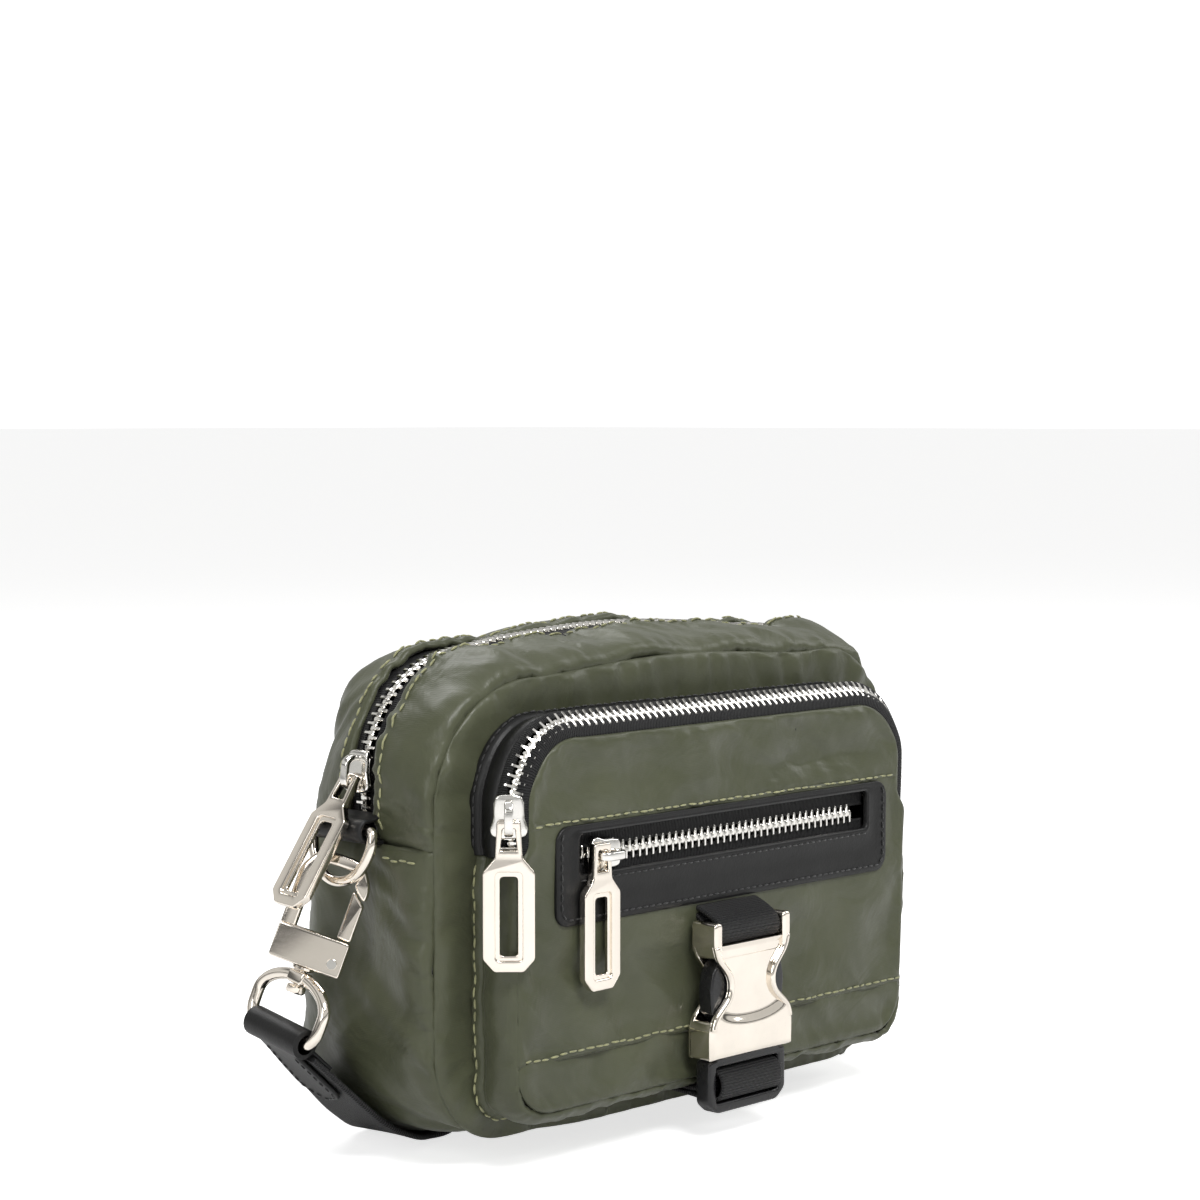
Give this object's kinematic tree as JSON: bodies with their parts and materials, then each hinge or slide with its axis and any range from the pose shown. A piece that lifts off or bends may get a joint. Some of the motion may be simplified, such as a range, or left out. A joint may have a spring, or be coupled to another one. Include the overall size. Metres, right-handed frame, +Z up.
{
  "type": "crossbody purse",
  "caption": "Small box-shaped nylon crossbody purse with a zip top, a zipped front pocket with a framed welt pocket and a side-release buckle, and a clip-on webbing strap.",
  "frame": {"origin": "the middle of the base, on the surface the purse stands on", "axes": "+Z up, the front pocket faces -Y, +X is the right side seen from the front"},
  "size_m": [0.2416, 0.1811, 0.136],
  "materials": {
    "nylon": "crinkled olive nylon with a slight sheen",
    "lining": "plain black woven lining",
    "faux_leather": "matte black smooth faux leather",
    "webbing": "ribbed black nylon webbing",
    "zip_tape": "black woven zip tape",
    "zip_metal": "polished silver zip teeth and sliders",
    "hardware": "polished light champagne plating",
    "buckle_plastic": "smooth black moulded plastic"
  },
  "bodies": {
    "bag": {"front_panel": "nylon", "back_panel": "nylon", "gusset_base": "nylon", "gusset_top_front": "nylon", "gusset_top_rear": "nylon", "main_zip_tape_front": "zip_tape", "main_zip_tape_rear": "zip_tape", "main_zip_chain": "zip_metal", "main_zip_stop_left": "zip_metal", "main_zip_stop_right": "zip_metal", "lining_front": "lining", "lining_back": "lining", "lining_base": "lining", "lining_slip_pocket": "lining", "pocket_gusset": "nylon", "pocket_trim": "faux_leather", "pocket_zip_tape_rear": "zip_tape", "pocket_zip_chain": "zip_metal", "pocket_zip_tape_front": "zip_tape", "pocket_zip_stop_left": "zip_metal", "pocket_zip_stop_right": "zip_metal", "pocket_panel_upper": "nylon", "pocket_panel_middle": "nylon", "pocket_panel_lower": "nylon", "welt_panel": "faux_leather", "welt_zip_tape_upper": "zip_tape", "welt_zip_tape_lower": "zip_tape", "welt_zip_chain": "zip_metal", "welt_pouch": "lining", "side_loop_left": "faux_leather", "side_loop_right": "faux_leather", "swivel_ring_left": "hardware", "swivel_ring_right": "hardware", "strap_webbing": "webbing", "strap_tab_left": "faux_leather", "strap_tab_right": "faux_leather", "buckle_housing": "hardware", "buckle_frame": "buckle_plastic", "upper_webbing_loop": "webbing", "lower_webbing_loop": "webbing"},
    "main_slider": {"main_slider": "zip_metal"},
    "main_pull": {"main_pull": "hardware"},
    "pocket_slider": {"pocket_slider": "zip_metal"},
    "pocket_pull": {"pocket_pull": "hardware"},
    "welt_slider": {"welt_slider": "zip_metal"},
    "welt_pull": {"welt_pull": "hardware"},
    "ring_left": {"d_ring_left": "hardware"},
    "clip_left": {"clip_body_left": "hardware", "clip_pin_left": "zip_metal", "swivel_post_left": "hardware"},
    "gate_left": {"clip_gate_left": "hardware"},
    "prong_left": {"buckle_prong_left": "buckle_plastic"},
    "ring_right": {"d_ring_right": "hardware"},
    "clip_right": {"clip_body_right": "hardware", "clip_pin_right": "zip_metal", "swivel_post_right": "hardware"},
    "gate_right": {"clip_gate_right": "hardware"},
    "prong_right": {"buckle_prong_right": "buckle_plastic"}
  },
  "joints": [
    {"name": "main_zip", "type": "hinge", "parent": "bag", "child": "main_slider", "pos_m": [-0.058, 0, 0.1], "axis": [0, 1, 0], "range_deg": [0, 83]},
    {"name": "main_pull_flip", "type": "hinge", "parent": "main_slider", "child": "main_pull", "pos_m": [-0.09697, 0, 0.10307], "axis": [0.0085, 0.9976, 0.0692], "range_deg": [0, 100]},
    {"name": "pocket_zip", "type": "hinge", "parent": "bag", "child": "pocket_slider", "pos_m": [-0.0565, -0.0422, 0.097], "axis": [0, 1, 0], "range_deg": [0, 90]},
    {"name": "pocket_pull_flip", "type": "hinge", "parent": "pocket_slider", "child": "pocket_pull", "pos_m": [-0.08373, -0.04563, 0.0938], "axis": [-0.7071, 0.7071, 0], "range_deg": [0, 100]},
    {"name": "welt_zip", "type": "slide", "parent": "bag", "child": "welt_slider", "axis": [1, 0, 0], "range_m": [0, 0.098]},
    {"name": "welt_pull_swing", "type": "hinge", "parent": "welt_slider", "child": "welt_pull", "pos_m": [-0.0531, -0.04865, 0.0825], "axis": [0, 1, 0], "range_deg": [0, 100]},
    {"name": "ring_swing_left", "type": "hinge", "parent": "bag", "child": "ring_left", "pos_m": [-0.0996, 0, 0.09], "axis": [0, 1, 0], "range_deg": [0, 6]},
    {"name": "clip_swivel_left", "type": "hinge", "parent": "bag", "child": "clip_left", "pos_m": [-0.1138, 0.0054, 0.0445], "axis": [0.3181, -0.1601, 0.9344], "range_deg": [-1, 6]},
    {"name": "clip_gate_left", "type": "hinge", "parent": "clip_left", "child": "gate_left", "pos_m": [-0.10549, -0.00207, 0.05495], "axis": [-0.7583, -0.6345, 0.1495], "range_deg": [0, 12], "stiffness_Nm_per_rad": 0.05},
    {"name": "ring_swing_right", "type": "hinge", "parent": "bag", "child": "ring_right", "pos_m": [0.0996, 0, 0.09], "axis": [0, -1, 0], "range_deg": [0, 6]},
    {"name": "clip_swivel_right", "type": "hinge", "parent": "bag", "child": "clip_right", "pos_m": [0.1138, 0.0054, 0.0445], "axis": [0.3181, 0.1601, -0.9344], "range_deg": [-1, 6]},
    {"name": "clip_gate_right", "type": "hinge", "parent": "clip_right", "child": "gate_right", "pos_m": [0.10549, -0.00207, 0.05495], "axis": [-0.7583, 0.6345, -0.1495], "range_deg": [0, 12], "stiffness_Nm_per_rad": 0.05},
    {"name": "prong_squeeze_right", "type": "hinge", "parent": "bag", "child": "prong_right", "pos_m": [0.01, -0.0518, 0.0275], "axis": [0, -1, 0], "range_deg": [0, 9], "stiffness_Nm_per_rad": 0.2},
    {"name": "prong_squeeze_left", "type": "hinge", "parent": "bag", "child": "prong_left", "pos_m": [-0.01, -0.0518, 0.0275], "axis": [0, 1, 0], "range_deg": [0, 9], "stiffness_Nm_per_rad": 0.2}
  ],
  "couplings": [
    {"joint": "prong_squeeze_left", "follows": "prong_squeeze_right", "ratio": 1},
    {"joint": "welt_pull_swing", "follows": "welt_zip", "rad_per_m": 17.8}
  ]
}
